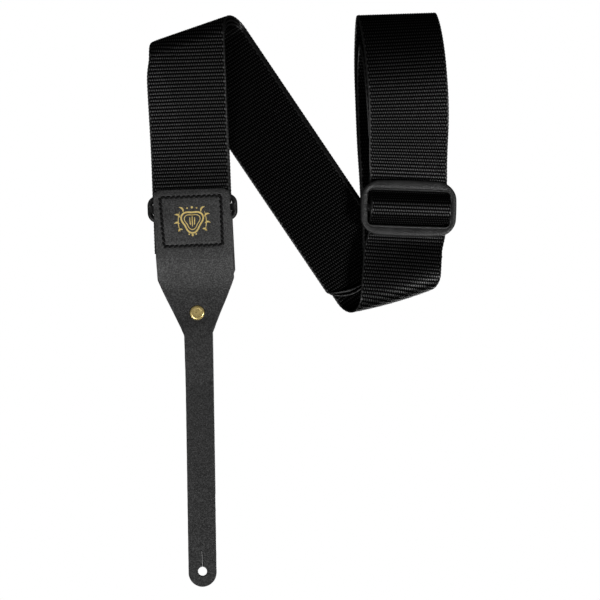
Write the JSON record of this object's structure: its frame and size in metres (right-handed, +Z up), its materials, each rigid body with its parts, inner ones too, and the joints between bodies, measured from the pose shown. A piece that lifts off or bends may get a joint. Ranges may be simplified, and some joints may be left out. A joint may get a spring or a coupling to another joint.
{
  "type": "guitar strap",
  "caption": "Adjustable guitar strap of wide woven webbing, folded in a flat zigzag, with a three-bar slider, a plastic loop and riveted leather ends with button holes.",
  "frame": {"origin": "On the floor plane, under the middle of the folded strap's bounding box.", "axes": "+Z up out of the face that carries the ornament; +Y towards the two upper folds, away from the leather tails; +X from the leather ends towards the slider."},
  "size_m": [0.1966, 0.3654, 0.0335],
  "materials": {
    "webbing": "ribbed polypropylene weave",
    "thread": "waxed thread",
    "moulded_plastic": "fine grain",
    "black_leather": "fine grain, cut edges",
    "gold_foil": "foil stamped",
    "rivet_brass": "antique"
  },
  "bodies": {
    "strap": {"webbing_outer_run": "webbing", "webbing_inner_run": "webbing", "webbing_front_lower": "webbing", "webbing_front_upper": "webbing", "webbing_return": "webbing"},
    "slider": {"slider_frame": "moulded_plastic", "webbing_over_bar": "webbing", "webbing_sewn_loop": "webbing", "loop_stitching": "thread"},
    "end_a": {"leather_a_front": "black_leather", "leather_a_back": "black_leather", "webbing_end_tab": "webbing", "box_stitching_a": "thread", "gold_emblem": "gold_foil", "rivet_cap_a": "rivet_brass", "rivet_post_a": "rivet_brass"},
    "loop": {"plastic_loop": "moulded_plastic"},
    "end_b": {"leather_b": "black_leather", "box_stitching_b": "thread", "rivet_cap_b": "rivet_brass", "rivet_post_b": "rivet_brass"}
  },
  "joints": [
    {"name": "slider_slide", "type": "slide", "parent": "strap", "child": "slider", "axis": [0.0262, 0.9997, 0], "range_m": [-0.008, 0.012], "deforming": ["webbing_front_lower", "webbing_front_upper", "webbing_return"]},
    {"name": "end_a_lift", "type": "hinge", "parent": "strap", "child": "end_a", "pos_m": [-0.07014, 0.07794, 0.01288], "axis": [-0.9994, -0.0349, 0], "range_deg": [0, 85]},
    {"name": "loop_pivot", "type": "hinge", "parent": "strap", "child": "loop", "pos_m": [-0.06973, 0.06614, 0.00458], "axis": [-0.9994, -0.0349, 0], "range_deg": [0, 51]},
    {"name": "end_b_pivot", "type": "hinge", "parent": "loop", "child": "end_b", "pos_m": [-0.06927, 0.05315, 0.00458], "axis": [-0.9994, -0.0349, 0], "range_deg": [-21.25, 0]}
  ],
  "couplings": [
    {"joint": "loop_pivot", "follows": "end_a_lift", "ratio": 0.6},
    {"joint": "end_b_pivot", "follows": "end_a_lift", "ratio": -0.25}
  ]
}
